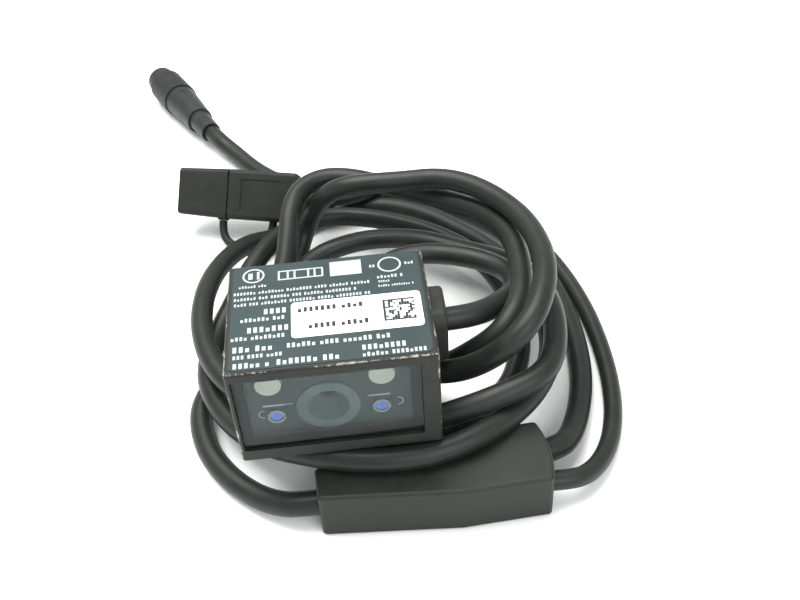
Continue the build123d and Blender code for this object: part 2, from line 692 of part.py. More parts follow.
with BuildPart() as junction_terminals:
    with BuildSketch(BOX_SPLIT.offset(BOX_BOARD_THICK - BOX_BOARD_DROP)):
        with Locations(*TERMINAL_SPOTS):
            Rectangle(TERMINAL_LENGTH, TERMINAL_WIDTH)
    extrude(amount=TERMINAL_HEIGHT)
save(junction_terminals.part, "junction_terminals")

junction_screws = [
    countersunk_screw(Plane(BOX_FLOOR.from_local_coords(Vector(u, v, 0)), x_dir=(1, 0, 0), z_dir=(0, 0, -1)),
                      BOX_SCREW_LENGTH)
    for u, v in BOX_SCREW_SPOTS
]
save(Compound(children=junction_screws), "junction_screws")

# ================= USB plug and its dust cap =================
PLUG = Plane(origin=PLUG_SEAM, x_dir=PLUG_WIDE_DIR, z_dir=PLUG_AXIS)
PLUG_REAR = PLUG_BODY + PLUG_SHOULDER

with BuildPart() as usb_overmould:
    with BuildSketch(PLUG.offset(-CAP_GAP)):
        RectangleRounded(PLUG_WIDTH, PLUG_THICK, PLUG_CORNER)
    extrude(amount=-(PLUG_BODY - CAP_GAP))
    with BuildSketch(PLUG.offset(-PLUG_BODY)):
        RectangleRounded(PLUG_WIDTH, PLUG_THICK, PLUG_CORNER)
    with BuildSketch(PLUG.offset(-PLUG_REAR)):
        RectangleRounded(PLUG_TAIL_WIDTH, PLUG_TAIL_THICK, PLUG_CORNER)
    loft()
    # shallow panel on both wide faces
    for side in (-1, 1):
        with BuildSketch(PLUG.offset(-PANEL_START)):
            with Locations((0, side * PLUG_THICK / 2)):
                Rectangle(PANEL_ACROSS, 2 * PANEL_DEPTH)
        extrude(amount=-PANEL_LENGTH, mode=Mode.SUBTRACT)
    with BuildSketch(PLUG.offset(-CAP_GAP)):
        Rectangle(SHELL_WIDTH + 2 * SEAT_GAP, SHELL_THICK + 2 * SEAT_GAP)
    extrude(amount=-(SHELL_IN - CAP_GAP), mode=Mode.SUBTRACT)
    with BuildSketch(PLUG.offset(-PLUG_REAR)):
        Circle(USB_RADIUS + SEAT_GAP)
    extrude(amount=CABLE_IN_PLUG, mode=Mode.SUBTRACT)
save(usb_overmould.part, "usb_overmould")

with BuildPart() as usb_shell:
    with BuildSketch(PLUG.offset(-SHELL_IN)):
        Rectangle(SHELL_WIDTH, SHELL_THICK)
        Rectangle(SHELL_WIDTH - 2 * SHELL_WALL, SHELL_THICK - 2 * SHELL_WALL, mode=Mode.SUBTRACT)
    extrude(amount=SHELL_IN + SHELL_OUT)
    # the four spring windows
    with BuildSketch(PLUG.offset(SPRING_WINDOW_AT)):
        with GridLocations(2 * SPRING_WINDOW_X, SHELL_THICK, 2, 2):
            Rectangle(SPRING_WINDOW, 3 * SHELL_WALL)
    extrude(amount=SPRING_WINDOW, mode=Mode.SUBTRACT)
save(usb_shell.part, "usb_shell")

SHELL_BORE_X = SHELL_WIDTH - 2 * SHELL_WALL
SHELL_BORE_Y = SHELL_THICK - 2 * SHELL_WALL
with BuildPart() as usb_tongue:
    with BuildSketch(PLUG.offset(-SHELL_IN)):
        Rectangle(SHELL_BORE_X - 2 * SEAT_GAP, SHELL_BORE_Y - 2 * SEAT_GAP)
    extrude(amount=TONGUE_BASE)
    with BuildSketch(PLUG.offset(-SHELL_IN)):
        with Locations((0, TONGUE_Y)):
            Rectangle(SHELL_BORE_X - 3 * SLIDE_GAP, TONGUE_THICK)
    extrude(amount=SHELL_IN + SHELL_OUT - TONGUE_SHORT)
save(usb_tongue.part, "usb_tongue")

with BuildPart() as usb_contacts:
    with BuildSketch(PLUG.offset(-SHELL_IN + TONGUE_BASE)):
        with Locations((0, TONGUE_Y + (TONGUE_THICK + CONTACT_THICK) / 2)):
            with GridLocations(CONTACT_PITCH, 0, 4, 1):
                Rectangle(CONTACT_WIDTH, CONTACT_THICK)
    extrude(amount=CONTACT_LENGTH)
save(usb_contacts.part, "usb_contacts")

with BuildPart() as usb_strain_relief:
    with BuildSketch(PLUG.offset(-PLUG_REAR)):
        Circle(USB_RADIUS + RELIEF_WALL)
    with BuildSketch(PLUG.offset(-PLUG_REAR - RELIEF_LENGTH)):
        Circle(USB_RADIUS + RELIEF_TIP_WALL)
    loft()
    with BuildSketch(PLUG.offset(-PLUG_REAR - RELIEF_LENGTH)):
        Circle(USB_RADIUS + SEAT_GAP)
    extrude(amount=RELIEF_LENGTH, mode=Mode.SUBTRACT)
save(usb_strain_relief.part, "usb_strain_relief")

with BuildPart() as dust_cap:
    with BuildSketch(PLUG):
        RectangleRounded(PLUG_WIDTH, PLUG_THICK, PLUG_CORNER)
    with BuildSketch(PLUG.offset(CAP_LENGTH)):
        RectangleRounded(CAP_TIP_WIDTH, CAP_TIP_THICK, PLUG_CORNER)
    loft()
    fillet(dust_cap.faces().sort_by(Axis((0, 0, 0), PLUG_AXIS))[-1].edges(), CAP_TIP_EDGE)
    # lug for the tether on the lower narrow side
    with BuildSketch(PLUG.offset(LUG_START)):
        with Locations((-PLUG_WIDTH / 2, 0)):
            Rectangle(2 * LUG_REACH, LUG_WIDTH)
    extrude(amount=LUG_LENGTH)
    with BuildSketch(PLUG):
        Rectangle(SHELL_WIDTH + 2 * CAP_CLEARANCE, SHELL_THICK + 2 * CAP_CLEARANCE)
    extrude(amount=SHELL_OUT + 2 * CAP_CLEARANCE, mode=Mode.SUBTRACT)
save(dust_cap.part, "dust_cap")

# ================= round connector =================
AXIS_BACK = Vector(*CONNECTOR_DIR).normalized()
CONNECTOR_START = Vector(*CONNECTOR_REAR, CONNECTOR_Z)
CONNECTOR = Plane(origin=CONNECTOR_START, x_dir=(0, 0, 1), z_dir=AXIS_BACK)
MID_START = BOOT_LENGTH
MID_END = BOOT_LENGTH + MID_LENGTH
SLEEVE_START = MID_END + SLEEVE_GAP

with BuildPart() as connector_boot:
    with BuildSketch(CONNECTOR):
        Circle(BOOT_REAR_RADIUS)
    with BuildSketch(CONNECTOR.offset(MID_START)):
        Circle(BOOT_RADIUS)
    loft()
    with BuildSketch(CONNECTOR):
        Circle(TRUNK_RADIUS + SEAT_GAP)
    extrude(amount=MID_START, mode=Mode.SUBTRACT)
save(connector_boot.part, "connector_boot")

with BuildPart() as connector_body:
    with BuildSketch(CONNECTOR.offset(MID_START)):
        Circle(MID_REAR_RADIUS)
    with BuildSketch(CONNECTOR.offset(MID_END)):
        Circle(MID_RADIUS)
    loft()
    # dimple on top that marks the key
    with Locations(CONNECTOR.offset(DIMPLE_AT).from_local_coords(Vector(MID_RADIUS, 0, 0))):
        Sphere(DIMPLE_RADIUS, mode=Mode.SUBTRACT)
    with BuildSketch(CONNECTOR.offset(MID_END)):
        Circle(NECK_RADIUS)
    extrude(amount=NECK_LENGTH)
    with BuildSketch(CONNECTOR.offset(MID_END + SNAP_RING_AT)):
        Circle(NECK_RADIUS)
        Circle(NECK_RADIUS - SNAP_RING_DEPTH, mode=Mode.SUBTRACT)
    extrude(amount=SNAP_RING_THICK + 2 * SLIDE_GAP, mode=Mode.SUBTRACT)
    with BuildSketch(CONNECTOR.offset(MID_END + NECK_LENGTH)):
        Circle(INSERT_RADIUS + SEAT_GAP)
    extrude(amount=-NECK_LENGTH, mode=Mode.SUBTRACT)
    with BuildSketch(CONNECTOR.offset(MID_START)):
        Circle(TRUNK_RADIUS + SEAT_GAP)
    extrude(amount=CABLE_IN_CONNECTOR, mode=Mode.SUBTRACT)
save(connector_body.part, "connector_body")

with BuildPart() as connector_insert:
    with BuildSketch(CONNECTOR.offset(MID_END)):
        Circle(INSERT_RADIUS)
    extrude(amount=INSERT_REACH)
    with BuildSketch(CONNECTOR.offset(MID_END + INSERT_REACH)):
        with PolarLocations(PIN_CIRCLE, PIN_COUNT):
            Circle(PIN_HOLE_RADIUS)
    extrude(amount=-PIN_HOLE_DEPTH, mode=Mode.SUBTRACT)
save(connector_insert.part, "connector_insert")

with BuildPart() as connector_contacts:
    with BuildSketch(CONNECTOR.offset(MID_END + INSERT_REACH + PIN_LENGTH - PIN_HOLE_DEPTH)):
        with PolarLocations(PIN_CIRCLE, PIN_COUNT):
            Circle(PIN_RADIUS)
            Circle(PIN_BORE, mode=Mode.SUBTRACT)
    extrude(amount=-PIN_LENGTH)
save(connector_contacts.part, "connector_contacts")

with BuildPart() as sleeve_snap_ring:
    with BuildSketch(CONNECTOR.offset(MID_END + SNAP_RING_AT + SLIDE_GAP)):
        Circle(NECK_RADIUS + SNAP_RING_PROUD)
        Circle(NECK_RADIUS - SNAP_RING_DEPTH + SEAT_GAP, mode=Mode.SUBTRACT)
        with Locations((0, NECK_RADIUS)):
            Rectangle(SNAP_RING_OPENING, SNAP_RING_OPENING, mode=Mode.SUBTRACT)
    extrude(amount=SNAP_RING_THICK)
save(sleeve_snap_ring.part, "sleeve_snap_ring")

COLLAR_START = SLEEVE_START + SLEEVE_LENGTH + SLEEVE_SHOULDER
with BuildPart() as coupling_sleeve:
    with BuildSketch(CONNECTOR.offset(SLEEVE_START)):
        Circle(SLEEVE_RADIUS)
        with PolarLocations(SLEEVE_RADIUS, RIB_COUNT):
            Rectangle(RIB_GROOVE, RIB_GROOVE, mode=Mode.SUBTRACT)
    extrude(amount=SLEEVE_LENGTH)
    # shoulder down to the narrower collar at the mouth
    with BuildSketch(CONNECTOR.offset(SLEEVE_START + SLEEVE_LENGTH)):
        Circle(SLEEVE_RADIUS - RIB_GROOVE / 2)
    with BuildSketch(CONNECTOR.offset(COLLAR_START)):
        Circle(COLLAR_RADIUS)
    loft()
    with BuildSketch(CONNECTOR.offset(COLLAR_START)):
        Circle(COLLAR_RADIUS)
    extrude(amount=COLLAR_LENGTH)
    with BuildSketch(CONNECTOR.offset(SLEEVE_START)):
        Circle(SLEEVE_BORE)
    extrude(amount=SLEEVE_LENGTH - SLEEVE_SHOULDER, mode=Mode.SUBTRACT)
    with BuildSketch(CONNECTOR.offset(SLEEVE_START)):
        Circle(COLLAR_BORE)
    extrude(amount=COLLAR_START + COLLAR_LENGTH - SLEEVE_START, mode=Mode.SUBTRACT)
    # groove in the bore that leaves the snap ring free all round
    with BuildSketch(CONNECTOR.offset(MID_END + SNAP_RING_AT - SNAP_RING_PROUD)):
        Circle(NECK_RADIUS + 2 * SNAP_RING_PROUD)
    extrude(amount=SNAP_RING_THICK + 2 * SNAP_RING_PROUD + SLIDE_GAP, mode=Mode.SUBTRACT)
save(coupling_sleeve.part, "coupling_sleeve")

# ================= cables =================
def along_plug(distance):
    """Point on the plug's axis, distance measured backwards from the seam."""
    return tuple(PLUG.from_local_coords(Vector(0, 0, -distance)))


def plug_point(across, forwards):
    """Point in the middle plane of the plug's thickness."""
    return tuple(PLUG.from_local_coords(Vector(across, 0, forwards)))


def along_connector(distance):
    """Point on the round connector's axis, distance measured from its rear end."""
    return tuple(CONNECTOR.from_local_coords(Vector(0, 0, distance)))


def at_entry(name, distance):
    """Point on a cable's line through the box wall, distance measured outwards."""
    return tuple(entry_plane(name).offset(distance).origin)


HEAD_RUN = [
    (SIDE_X - SIDE_WALL, EXIT_Y, EXIT_Z), (31.0, EXIT_Y, EXIT_Z), (38.5, -3.5, -5.0), (44.5, 4.0, -8.4),
]
TRUNK_RUN = [
    at_entry("trunk", -5.0), at_entry("trunk", 4.5), (-17.5, -37.2, -29.2), (-23.5, -32.6, -30.5),
    (-30.0, -25.8, -31.0), (-35.5, -16.5, -31.0),
]
POWER_RUN = [
    at_entry("power", -5.0), at_entry("power", 4.0), (56.2, -26.0, -29.4), (60.6, -16.5, -30.7),
    (63.9, -5.5, -31.0), (65.6, 7.0, -31.0), (65.8, 20.5, -31.0), (64.3, 34.5, -31.0), (60.8, 48.5, -31.0),
    (54.5, 61.0, -31.0), (46.0, 72.0, -31.0), (35.0, 80.5, -31.0), (22.0, 86.4, -31.0), (8.0, 90.4, -31.0),
    (-5.5, 95.2, -31.0), (-16.8, 102.0, -31.0), (-26.0, 112.5, -30.8), (-33.5, 123.5, -29.6),
    along_connector(-5.0), along_connector(MID_START + CABLE_IN_CONNECTOR - 0.5),
]
USB_RUN = [
    at_entry("usb", -5.0), at_entry("usb", 4.0), (58.6, -38.0, -29.4), (64.8, -30.0, -31.2),
    (69.0, -19.5, -31.6), (71.4, -7.0, -31.6), (72.3, 7.0, -31.6), (71.9, 21.5, -31.6), (69.8, 36.0, -31.6),
    (66.0, 50.5, -31.6), (60.0, 64.0, -31.4), (51.5, 75.0, -29.4), (40.5, 83.0, -26.4), (29.0, 85.5, -24.9),
    (18.0, 83.5, -24.0), (9.4, 78.9, -23.4), along_plug(PLUG_REAR + 5.0),
    along_plug(PLUG_REAR - CABLE_IN_PLUG + 0.4),
]
LUG_FACE = -PLUG_WIDTH / 2 - LUG_REACH - 0.3
TETHER = [
    plug_point(LUG_FACE, TETHER_AT), plug_point(LUG_FACE - 2.3, TETHER_AT), (-34.9, 74.4, -32.0),
    (-32.2, 70.9, -32.6), (-28.0, 69.3, -32.6), (-22.4, 70.2, -32.4), plug_point(-11.2, -TETHER_BACK),
    plug_point(-PLUG_WIDTH / 2, -TETHER_BACK),
]
save(round_tube(TETHER, TETHER_RADIUS), "cap_tether")
save(round_tube(HEAD_RUN, TRUNK_RADIUS), "head_cable_run")
save(round_tube(TRUNK_RUN, TRUNK_RADIUS), "trunk_run")
save(round_tube(POWER_RUN, TRUNK_RADIUS), "power_run")
save(round_tube(USB_RUN, USB_RADIUS), "usb_run")

# the coil: the closed outer shape of its turns, low under the head and high at the right and the back
COIL_TOP = -TOP_Z
COIL_RAISED_TOP = 6.0
COIL_OUTLINE = [
    (-38.0, -20.0), (-41.0, 10.0), (-37.0, 44.0), (-25.0, 62.0), (-12.0, 66.5), (1.0, 70.5), (12.0, 74.5),
    (28.0, 74.0), (44.0, 63.0), (57.0, 42.0), (61.0, 20.0), (59.5, 0.0), (54.0, -14.0), (46.0, -23.0),
    (24.0, -24.5), (-8.0, -29.5), (-24.0, -29.0),
]
COIL_OVER_BOX = [(-14.0, -24.0), (-10.0, -36.0), (2.0, -40.0), (26.0, -41.0), (38.0, -36.0), (47.0, -28.0),
                 (50.0, -18.0), (36.0, -12.0)]
COIL_RAISED = [
    (30.0, -21.0), (44.0, -22.0), (53.0, -15.0), (57.5, 0.0), (58.5, 16.0), (55.5, 31.0), (48.0, 46.0),
    (32.0, 62.0), (9.0, 73.0), (-3.0, 73.5), (-9.5, 66.0), (-12.0, 52.0), (10.0, 49.0), (32.0, 46.5),
    (43.0, 36.0), (47.5, 22.0), (46.0, 8.0), (41.5, -2.0), (34.0, -11.0),
]
with BuildPart() as cord_coil:
    with BuildSketch(Plane.XY.offset(FLOOR_Z)):
        with BuildLine():
            Polyline(*COIL_OUTLINE, close=True)
        make_face()
    extrude(amount=COIL_TOP - FLOOR_Z)
    with BuildSketch(Plane.XY.offset(FLOOR_Z + BOX_HEIGHT)):
        with BuildLine():
            Polyline(*COIL_OVER_BOX, close=True)
        make_face()
    extrude(amount=COIL_TOP - FLOOR_Z - BOX_HEIGHT)
    with BuildSketch(Plane.XY.offset(COIL_TOP - 6.0)):
        with BuildLine():
            Polyline(*COIL_RAISED, close=True)
        make_face()
    extrude(amount=COIL_RAISED_TOP - COIL_TOP + 6.0)
save(cord_coil.part, "cord_coil")
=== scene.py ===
import json
import math
import random

import bpy
from mathutils import Matrix, Vector


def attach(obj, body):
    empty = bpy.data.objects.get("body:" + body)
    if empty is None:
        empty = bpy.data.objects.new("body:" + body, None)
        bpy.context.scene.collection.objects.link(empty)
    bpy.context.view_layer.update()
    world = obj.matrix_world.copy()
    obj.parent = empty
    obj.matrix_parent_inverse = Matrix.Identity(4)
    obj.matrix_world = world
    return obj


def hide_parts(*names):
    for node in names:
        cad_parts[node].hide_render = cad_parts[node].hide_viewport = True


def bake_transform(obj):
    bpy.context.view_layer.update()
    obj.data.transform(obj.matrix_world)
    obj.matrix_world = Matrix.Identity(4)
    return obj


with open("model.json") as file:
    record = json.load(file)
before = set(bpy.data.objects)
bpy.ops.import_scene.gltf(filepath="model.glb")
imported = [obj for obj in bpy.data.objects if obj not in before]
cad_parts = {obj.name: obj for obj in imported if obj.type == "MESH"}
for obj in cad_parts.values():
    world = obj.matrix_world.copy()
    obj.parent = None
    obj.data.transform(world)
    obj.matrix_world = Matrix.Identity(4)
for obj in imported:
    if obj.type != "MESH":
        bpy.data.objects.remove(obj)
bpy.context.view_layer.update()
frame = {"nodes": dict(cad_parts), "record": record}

MM = 0.001
scene = bpy.context.scene
scene.view_settings.view_transform = "Standard"


def point(*millimetres):
    """A point of the row frame given in millimetres."""
    return Vector(millimetres) * MM


# ---------------------------------------------------------------- camera
CAMERA_PLACE = point(8.29, -181.15, 155.37)
CAMERA_RIGHT = Vector((0.9942, -0.0941, -0.0527))
CAMERA_DOWN = Vector((-0.1014, -0.6487, -0.7542))
CAMERA_LENS = 43.2

camera_data = bpy.data.cameras.new("photo_camera")
camera_data.lens = CAMERA_LENS
camera_data.clip_start = 0.005
camera_data.clip_end = 20.0
camera = bpy.data.objects.new("photo_camera", camera_data)
scene.collection.objects.link(camera)
view_back = CAMERA_RIGHT.cross(-CAMERA_DOWN).normalized()
view_up = view_back.cross(CAMERA_RIGHT).normalized()
camera.matrix_world = Matrix((CAMERA_RIGHT.normalized(), view_up, view_back)).transposed().to_4x4()
camera.location = CAMERA_PLACE
scene.camera = camera


# ---------------------------------------------------------------- materials
def new_material(name):
    """An empty node material and its principled shader."""
    made = bpy.data.materials.new(name)
    made.use_nodes = True
    return made, made.node_tree, made.node_tree.nodes["Principled BSDF"]


# noise levels between which a mottled surface changes from its darker to its lighter colour
MOTTLE_LOW = 0.35
MOTTLE_HIGH = 0.68


def noise(tree, scale, detail=4.0, roughness=0.55):
    """Noise in object coordinates."""
    coordinates = tree.nodes.new("ShaderNodeTexCoord")
    texture = tree.nodes.new("ShaderNodeTexNoise")
    texture.inputs["Scale"].default_value = scale
    texture.inputs["Detail"].default_value = detail
    texture.inputs["Roughness"].default_value = roughness
    tree.links.new(coordinates.outputs["Object"], texture.inputs["Vector"])
    return texture.outputs["Fac"]


def ramp(tree, factor, low, high, low_colour, high_colour):
    """Two-colour ramp between two noise levels."""
    node = tree.nodes.new("ShaderNodeValToRGB")
    node.color_ramp.elements[0].position = low
    node.color_ramp.elements[1].position = high
    node.color_ramp.elements[0].color = (*low_colour, 1.0)
    node.color_ramp.elements[1].color = (*high_colour, 1.0)
    tree.links.new(factor, node.inputs["Fac"])
    return node.outputs["Color"]


def ranged(tree, factor, low, high):
    """Noise mapped to a range of values."""
    node = tree.nodes.new("ShaderNodeMapRange")
    node.inputs["From Min"].default_value = 0.3
    node.inputs["From Max"].default_value = 0.7
    node.inputs["To Min"].default_value = low
    node.inputs["To Max"].default_value = high
    tree.links.new(factor, node.inputs["Value"])
    return node.outputs["Result"]


def shade(colour, amount):
    """A colour made darker or lighter."""
    return tuple(min(1.0, channel * amount) for channel in colour)


def surface(name, colour, rough, metallic=0.0, mottle=0.18, mottle_scale=180.0, grain=900.0,
            bump=0.12, bump_depth=0.02, coat=0.0, rough_spread=0.08, specular=0.25):
    """General procedural surface: colour variation, uneven gloss and fine grain."""
    made, tree, shader = new_material(name)
    mottling = noise(tree, mottle_scale, 5.0, 0.6)
    colours = ramp(tree, mottling, MOTTLE_LOW, MOTTLE_HIGH, shade(colour, 1 - mottle),
                   shade(colour, 1 + mottle))
    tree.links.new(colours, shader.inputs["Base Color"])
    gloss = ranged(tree, mottling, rough - rough_spread, rough + rough_spread)
    tree.links.new(gloss, shader.inputs["Roughness"])
    shader.inputs["Metallic"].default_value = metallic
    shader.inputs["Specular IOR Level"].default_value = specular
    shader.inputs["Coat Weight"].default_value = coat
    relief = tree.nodes.new("ShaderNodeBump")
    relief.inputs["Strength"].default_value = bump
    relief.inputs["Distance"].default_value = bump_depth * MM
    tree.links.new(noise(tree, grain, 3.0, 0.6), relief.inputs["Height"])
    tree.links.new(relief.outputs["Normal"], shader.inputs["Normal"])
    return made


def maths(tree, operation, first, second=None, third=None):
    """Math node; each operand is a number or a socket."""
    node = tree.nodes.new("ShaderNodeMath")
    node.operation = operation
    for slot, value in enumerate((first, second, third)):
        if value is None:
            continue
        if isinstance(value, (int, float)):
            node.inputs[slot].default_value = value
        else:
            tree.links.new(value, node.inputs[slot])
    return node.outputs[0]


# how far the bare metal reaches in from an edge, as shares of the wear's width
WEAR_PATCHES = 2.6
WEAR_SCRATCHES = 0.9
WEAR_SET_BACK = -0.50
# the soft border between bare metal and enamel, in millimetres
WEAR_BORDER = (-0.12, 0.16)


def worn_casting(name, centre, half_size, colour, bare, wear_width, rough=0.5):
    """Black enamel on a box-shaped casting, rubbed through to bare metal along the box's edges."""
    made, tree, shader = new_material(name)
    coordinates = tree.nodes.new("ShaderNodeTexCoord")
    split = tree.nodes.new("ShaderNodeSeparateXYZ")
    tree.links.new(coordinates.outputs["Object"], split.inputs["Vector"])
    inward = []
    for axis in range(3):
        offset = maths(tree, "SUBTRACT", split.outputs[axis], centre[axis] * MM)
        inward.append(maths(tree, "SUBTRACT", half_size[axis] * MM, maths(tree, "ABSOLUTE", offset)))
    smaller = maths(tree, "MINIMUM", inward[0], inward[1])
    larger = maths(tree, "MAXIMUM", inward[0], inward[1])
    edge_distance = maths(tree, "MAXIMUM", smaller, maths(tree, "MINIMUM", larger, inward[2]))
    patches = noise(tree, 260.0, 6.0, 0.7)
    scratches = noise(tree, 1500.0, 4.0, 0.7)
    width = wear_width * MM
    reach = maths(tree, "MULTIPLY_ADD", patches, WEAR_PATCHES * width, WEAR_SET_BACK * width)
    reach = maths(tree, "MULTIPLY_ADD", scratches, WEAR_SCRATCHES * width, reach)
    past_edge = maths(tree, "SUBTRACT", maths(tree, "SUBTRACT", reach, width), edge_distance)
    soft = tree.nodes.new("ShaderNodeMapRange")
    soft.inputs["From Min"].default_value = WEAR_BORDER[0] * MM
    soft.inputs["From Max"].default_value = WEAR_BORDER[1] * MM
    tree.links.new(past_edge, soft.inputs["Value"])
    wear = soft.outputs["Result"]
    enamel = ramp(tree, noise(tree, 140.0, 5.0, 0.6), MOTTLE_LOW, MOTTLE_HIGH, shade(colour, 0.82),
                  shade(colour, 1.25))
    metal = ramp(tree, noise(tree, 700.0, 5.0, 0.6), 0.3, 0.7, shade(bare, 0.72), shade(bare, 1.15))
    blend = tree.nodes.new("ShaderNodeMix")
    blend.data_type = "RGBA"
    tree.links.new(wear, blend.inputs["Factor"])
    tree.links.new(enamel, blend.inputs["A"])
    tree.links.new(metal, blend.inputs["B"])
    tree.links.new(blend.outputs["Result"], shader.inputs["Base Color"])
    tree.links.new(maths(tree, "MULTIPLY", wear, 0.55), shader.inputs["Metallic"])
    tree.links.new(maths(tree, "MULTIPLY_ADD", wear, -0.1, rough), shader.inputs["Roughness"])
    shader.inputs["Specular IOR Level"].default_value = 0.25
    relief = tree.nodes.new("ShaderNodeBump")
    relief.inputs["Strength"].default_value = 0.25
    relief.inputs["Distance"].default_value = 0.04 * MM
    height = maths(tree, "MULTIPLY_ADD", wear, -0.6, noise(tree, 1600.0, 3.0, 0.6))
    tree.links.new(height, relief.inputs["Height"])
    tree.links.new(relief.outputs["Normal"], shader.inputs["Normal"])
    return made


def clear_glass(name, tint, gloss):
    """Thin clear sheet: lets light straight through and keeps a constant share of reflection."""
    made, tree, shader = new_material(name)
    through = tree.nodes.new("ShaderNodeBsdfTransparent")
    through.inputs["Color"].default_value = (*tint, 1.0)
    mirror = tree.nodes.new("ShaderNodeBsdfGlossy")
    tree.links.new(ranged(tree, noise(tree, 90.0), 0.05, 0.16), mirror.inputs["Roughness"])
    tree.links.new(ramp(tree, noise(tree, 60.0), 0.3, 0.7, (0.75, 0.79, 0.80), (0.95, 0.97, 0.97)),
                   mirror.inputs["Color"])
    mix = tree.nodes.new("ShaderNodeMixShader")
    mix.inputs["Fac"].default_value = gloss
    tree.links.new(through.outputs["BSDF"], mix.inputs[1])
    tree.links.new(mirror.outputs["BSDF"], mix.inputs[2])
    tree.links.new(mix.outputs["Shader"], tree.nodes["Material Output"].inputs["Surface"])
    tree.nodes.remove(shader)
    return made


# middles and half sizes of the two enamelled castings, in millimetres
HEAD_CENTRE = (0, -18.25, 0)
HEAD_HALF = (23, 18.25, 14)
BLOCK_CENTRE = (22.0, -7.4, -4.0)
BLOCK_HALF = (5.5, 6.9, 8.0)

MATERIALS = {
    "head_casting": worn_casting("head_casting", HEAD_CENTRE, HEAD_HALF, (0.013, 0.015, 0.013),
                                 (0.42, 0.39, 0.32), 0.75),
    "cover_metal": surface("cover_metal", (0.02, 0.021, 0.02), 0.5),
    "steel_screw": surface("steel_screw", (0.45, 0.45, 0.46), 0.34, 1.0, grain=1500.0),
    "window_glass": clear_glass("window_glass", (0.80, 0.84, 0.84), 0.03),
    "black_rubber": surface("black_rubber", (0.013, 0.014, 0.013), 0.62, mottle=0.25),
    "board": surface("board", (0.02, 0.07, 0.05), 0.4, mottle=0.3, mottle_scale=700.0),
    "panel_black": surface("panel_black", (0.026, 0.034, 0.036), 0.5, mottle=0.25),
    "hood_grey": surface("hood_grey", (0.10, 0.12, 0.125), 0.5, mottle=0.15),
    "lens_glass": surface("lens_glass", (0.02, 0.018, 0.025), 0.08, coat=1.0, rough_spread=0.03),
    "barrel_black": surface("barrel_black", (0.012, 0.012, 0.012), 0.5, 0.3),
    "chip_black": surface("chip_black", (0.02, 0.02, 0.022), 0.5),
    "lamp_cream": surface("lamp_cream", (0.55, 0.49, 0.41), 0.3, mottle=0.08, coat=0.3),
    "aim_blue": surface("aim_blue", (0.09, 0.14, 0.60), 0.18, mottle=0.35, mottle_scale=900.0, coat=1.0),
    "ring_silver": surface("ring_silver", (0.26, 0.28, 0.31), 0.3, 0.8, grain=1500.0),
    "spacer_brass": surface("spacer_brass", (0.62, 0.50, 0.28), 0.35, 1.0),
    "label_slate": surface("label_slate", (0.028, 0.043, 0.045), 0.45, mottle=0.10, mottle_scale=90.0,
                           bump=0.08, specular=0.15),
    "print_grey": surface("print_grey", (0.38, 0.41, 0.41), 0.5, mottle=0.12, mottle_scale=900.0, bump=0.06),
    "label_white": surface("label_white", (0.93, 0.94, 0.94), 0.5, mottle=0.02, bump=0.06),
    "connector_white": surface("connector_white", (0.72, 0.70, 0.63), 0.45),
    "box_plastic": surface("box_plastic", (0.015, 0.017, 0.014), 0.46, mottle=0.14, grain=2200.0, bump=0.3,
                           bump_depth=0.03),
    "cable_jacket": surface("cable_jacket", (0.013, 0.016, 0.014), 0.42, mottle=0.16, mottle_scale=120.0,
                            grain=1300.0, bump=0.14, bump_depth=0.02),
    "plug_plastic": surface("plug_plastic", (0.012, 0.013, 0.010), 0.6, mottle=0.2, grain=1500.0, bump=0.5,
                            bump_depth=0.05),
    "plug_steel": surface("plug_steel", (0.66, 0.66, 0.67), 0.22, 1.0),
    "contact_gold": surface("contact_gold", (0.80, 0.60, 0.28), 0.25, 1.0),
    "connector_black": surface("connector_black", (0.020, 0.022, 0.021), 0.45, mottle=0.2),
}
for entry in frame["record"]["subparts"]:
    node = frame["nodes"][entry["node"]]
    node.data.materials.clear()
    node.data.materials.append(MATERIALS[entry["material_slot"]])
BLOCK_METAL = worn_casting("exit_block_enamel", BLOCK_CENTRE, BLOCK_HALF, (0.022, 0.023, 0.020),
                           (0.36, 0.33, 0.26), 0.5)
frame["nodes"]["cable_exit_block"].data.materials[0] = BLOCK_METAL


# ---------------------------------------------------------------- helpers for pieces
CORD_STEPS = 8
CORD_ROUNDNESS = 7
STRAP_STEPS = 10
STRAP_ROUNDNESS = 6
BLOCK_FACES = ((3, 2, 1, 0), (4, 5, 6, 7), (0, 1, 5, 4), (1, 2, 6, 5), (2, 3, 7, 6), (3, 0, 4, 7))


def add_block(vertices, faces, corners):
    """Six faces over eight corners: four behind, then four in front, anticlockwise seen from the front."""
    first = len(vertices)
    vertices.extend(corners)
    for face in BLOCK_FACES:
        faces.append([first + corner for corner in face])


def add_print(name, vertices, faces, ink):
    """Flat print from vertices in metres, which rides on the scanner body."""
    mesh = bpy.data.meshes.new(name)
    mesh.from_pydata([tuple(v) for v in vertices], [], faces)
    mesh.update()
    made = bpy.data.objects.new(name, mesh)
    scene.collection.objects.link(made)
    mesh.materials.append(MATERIALS[ink])
    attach(made, "scanner")


def round_curve(name, route, radius, steps, roundness):
    """A round tube on one smooth curve of the second degree with the route as its control points."""
    curve = bpy.data.curves.new(name, "CURVE")
    curve.dimensions = "3D"
    spline = curve.splines.new("NURBS")
    spline.points.add(len(route) - 1)
    for control, place in zip(spline.points, route):
        control.co = (*(Vector(place) * MM), 1.0)
    spline.order_u = 3
    spline.use_endpoint_u = True
    curve.resolution_u = steps
    curve.bevel_depth = radius * MM
    curve.bevel_resolution = roundness
    curve.use_fill_caps = True
    made = bpy.data.objects.new(name, curve)
    scene.collection.objects.link(made)
    return made


